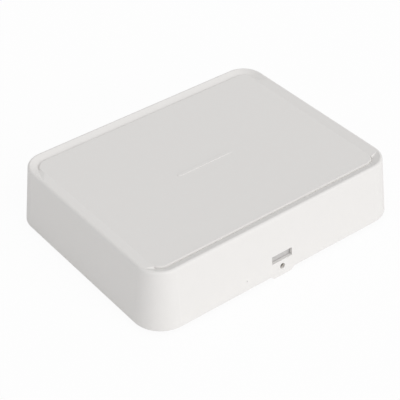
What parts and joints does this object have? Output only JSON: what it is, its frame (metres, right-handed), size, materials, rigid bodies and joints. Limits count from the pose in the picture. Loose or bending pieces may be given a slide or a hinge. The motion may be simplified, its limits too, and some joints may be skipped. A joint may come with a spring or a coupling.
{
  "type": "access control panel",
  "caption": "Wall-mounted access control panel: pale moulded case with hinged cover and sprung slot latch, over a door controller board with pluggable terminals and relays.",
  "frame": {"origin": "centre of the back plate's rear face, which lies on the wall or the table", "axes": "+Z out of the wall through the cover, -Y towards the side with the latch slot, +X to the right as seen from that side"},
  "size_m": [0.24, 0.1883, 0.0535],
  "materials": {
    "case_white": "fine moulded texture, satin",
    "plate_white": "fine moulded texture, satin",
    "latch_grey": "moulded, satin",
    "spring_steel": "drawn wire",
    "pin_steel": "ground pin",
    "brass": "turned and knurled",
    "board_green": "solder mask over glass laminate",
    "screw_steel": "zinc plated",
    "terminal_green": "moulded polyamide",
    "tin_metal": "tin plated sheet",
    "socket_black": "moulded",
    "relay_black": "moulded, sealed",
    "cell_steel": "stamped stainless can",
    "switch_black": "moulded",
    "switch_red": "moulded",
    "standoff_nylon": "moulded nylon",
    "slider_white": "moulded",
    "chip_black": "moulded epoxy",
    "capacitor_sleeve": "shrink sleeve, bare aluminium top",
    "ferrite_grey": "pressed ferrite",
    "tape_yellow": "polyester tape over ferrite",
    "led_clear": "diffused epoxy",
    "fuse_orange": "dipped coating",
    "jumper_blue": "moulded",
    "gold": "gold plated",
    "sink_black": "black anodised extrusion",
    "crystal_can": "drawn can"
  },
  "bodies": {
    "base": {"aux_relay_1": "relay_black", "aux_relay_2": "relay_black", "base_plate": "plate_white", "board_screws": "screw_steel", "board_standoffs": "standoff_nylon", "bus_header": "terminal_green", "bus_plug": "terminal_green", "capacitors": "capacitor_sleeve", "coin_cell": "cell_steel", "coin_cell_holder": "socket_black", "crystal": "crystal_can", "dip_switch": "switch_red", "driver_chips": "chip_black", "ethernet_insert": "socket_black", "ethernet_shield": "tin_metal", "heat_sink": "sink_black", "inputs_1_header": "terminal_green", "inputs_1_plug": "terminal_green", "inputs_2_header": "terminal_green", "inputs_2_plug": "terminal_green", "jumper_caps": "jumper_blue", "jumper_headers": "socket_black", "jumper_pins": "gold", "latch_housing": "plate_white", "latch_spring": "spring_steel", "lock_relay_1": "relay_black", "lock_relay_2": "relay_black", "main_board": "board_green", "memory_chips": "chip_black", "poe_transformer": "tape_yellow", "power_header": "terminal_green", "power_inductor": "ferrite_grey", "power_plug": "terminal_green", "processor": "chip_black", "reader_1_header": "terminal_green", "reader_1_plug": "terminal_green", "reader_2_header": "terminal_green", "reader_2_plug": "terminal_green", "regulator": "chip_black", "relay_1_header": "terminal_green", "relay_1_plug": "terminal_green", "relay_2_header": "terminal_green", "relay_2_plug": "terminal_green", "reset_switch": "switch_black", "resettable_fuses": "fuse_orange", "screw_insert": "brass", "status_leds": "led_clear", "tamper_switch": "switch_black", "terminal_screws": "screw_steel", "usb_socket": "tin_metal"},
    "cover": {"front_cover": "case_white", "hinge_pins": "pin_steel"},
    "latch": {"latch_slider": "latch_grey"},
    "tamper_lever": {"tamper_lever": "tin_metal"},
    "tamper_plunger": {"tamper_plunger": "switch_red"},
    "reset_button": {"reset_button": "slider_white"},
    "dip_slider_1": {"dip_slider_1": "slider_white"},
    "dip_slider_2": {"dip_slider_2": "slider_white"},
    "dip_slider_3": {"dip_slider_3": "slider_white"},
    "dip_slider_4": {"dip_slider_4": "slider_white"}
  },
  "joints": [
    {"name": "cover_hinge", "type": "hinge", "parent": "base", "child": "cover", "pos_m": [0, 0.08918, 0.006], "axis": [-1, 0, 0], "range_deg": [0, 90]},
    {"name": "latch_slide", "type": "slide", "parent": "base", "child": "latch", "axis": [0, 1, 0], "range_m": [0, 0.0025], "stiffness_N_per_m": 900, "deforming": ["latch_spring"]},
    {"name": "tamper_lever_pivot", "type": "hinge", "parent": "base", "child": "tamper_lever", "pos_m": [0.009, -0.034, 0.0177], "axis": [0, 1, 0], "range_deg": [0, 6], "stiffness_Nm_per_rad": 0.03},
    {"name": "tamper_plunger_slide", "type": "slide", "parent": "base", "child": "tamper_plunger", "axis": [0, 0, -1], "range_m": [0, 0.00045]},
    {"name": "reset_press", "type": "slide", "parent": "base", "child": "reset_button", "axis": [0, 0, -1], "range_m": [0, 0.0003], "stiffness_N_per_m": 2000},
    {"name": "dip_1_slide", "type": "slide", "parent": "base", "child": "dip_slider_1", "axis": [0, 1, 0], "range_m": [0, 0.0018]},
    {"name": "dip_2_slide", "type": "slide", "parent": "base", "child": "dip_slider_2", "axis": [0, 1, 0], "range_m": [-0.0018, 0]},
    {"name": "dip_3_slide", "type": "slide", "parent": "base", "child": "dip_slider_3", "axis": [0, 1, 0], "range_m": [0, 0.0018]},
    {"name": "dip_4_slide", "type": "slide", "parent": "base", "child": "dip_slider_4", "axis": [0, 1, 0], "range_m": [-0.0018, 0]}
  ],
  "couplings": [
    {"joint": "tamper_plunger_slide", "follows": "tamper_lever_pivot", "m_per_rad": 0.004}
  ]
}
